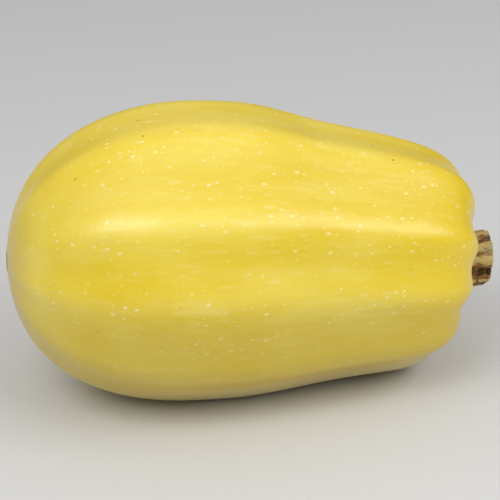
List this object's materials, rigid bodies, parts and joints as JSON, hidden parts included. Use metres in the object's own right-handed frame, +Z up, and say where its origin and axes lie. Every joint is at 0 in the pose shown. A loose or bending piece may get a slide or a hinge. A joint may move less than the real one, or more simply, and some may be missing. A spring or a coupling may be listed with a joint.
{
  "type": "spaghetti squash",
  "caption": "Whole ripe spaghetti squash: a long pear-shaped fruit with softly ribbed yellow skin and a short fluted stem stub, lying on its side.",
  "frame": {"origin": "on the surface the fruit lies on, under the middle of its bounding box", "axes": "+X along the fruit towards the stem, +Z up, -Y the side it is mostly seen from"},
  "size_m": [0.2424, 0.1474, 0.1433],
  "materials": {
    "rind": "satin",
    "stem": "matte"
  },
  "bodies": {
    "root": {"fruit": "rind", "stem": "stem"}
  },
  "joints": []
}
